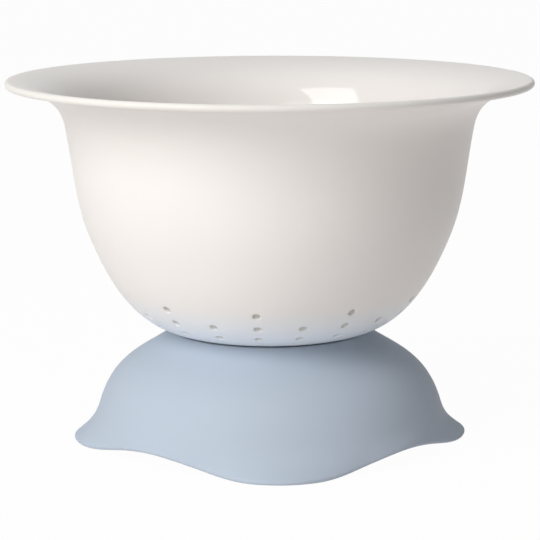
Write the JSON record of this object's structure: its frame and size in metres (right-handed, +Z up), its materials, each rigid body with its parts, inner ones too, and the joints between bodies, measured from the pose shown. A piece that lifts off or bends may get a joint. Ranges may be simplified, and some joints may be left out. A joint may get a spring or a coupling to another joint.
{
  "type": "berry colander bowl",
  "caption": "Flared bowl with drain holes through its rounded underside, resting by a foot ring in the seat of a thin flexible stand with a lobed hem.",
  "frame": {"origin": "centre of the level surface that the stand rests on, on the bowl's axis", "axes": "+Z up along the bowl's axis; the front of the object, as pictured, looks along -Y"},
  "size_m": [0.21, 0.21, 0.146],
  "materials": {
    "porcelain": "satin glaze outside, gloss glaze inside, warm white",
    "silicone": "matte silicone rubber, pale grey blue"
  },
  "bodies": {
    "stand": {"silicone_stand": "silicone"},
    "bowl": {"colander_bowl": "porcelain"}
  },
  "joints": [
    {"name": "bowl_lift", "type": "slide", "parent": "stand", "child": "bowl", "axis": [0, 0, 1], "range_m": [0, 0.06]}
  ]
}
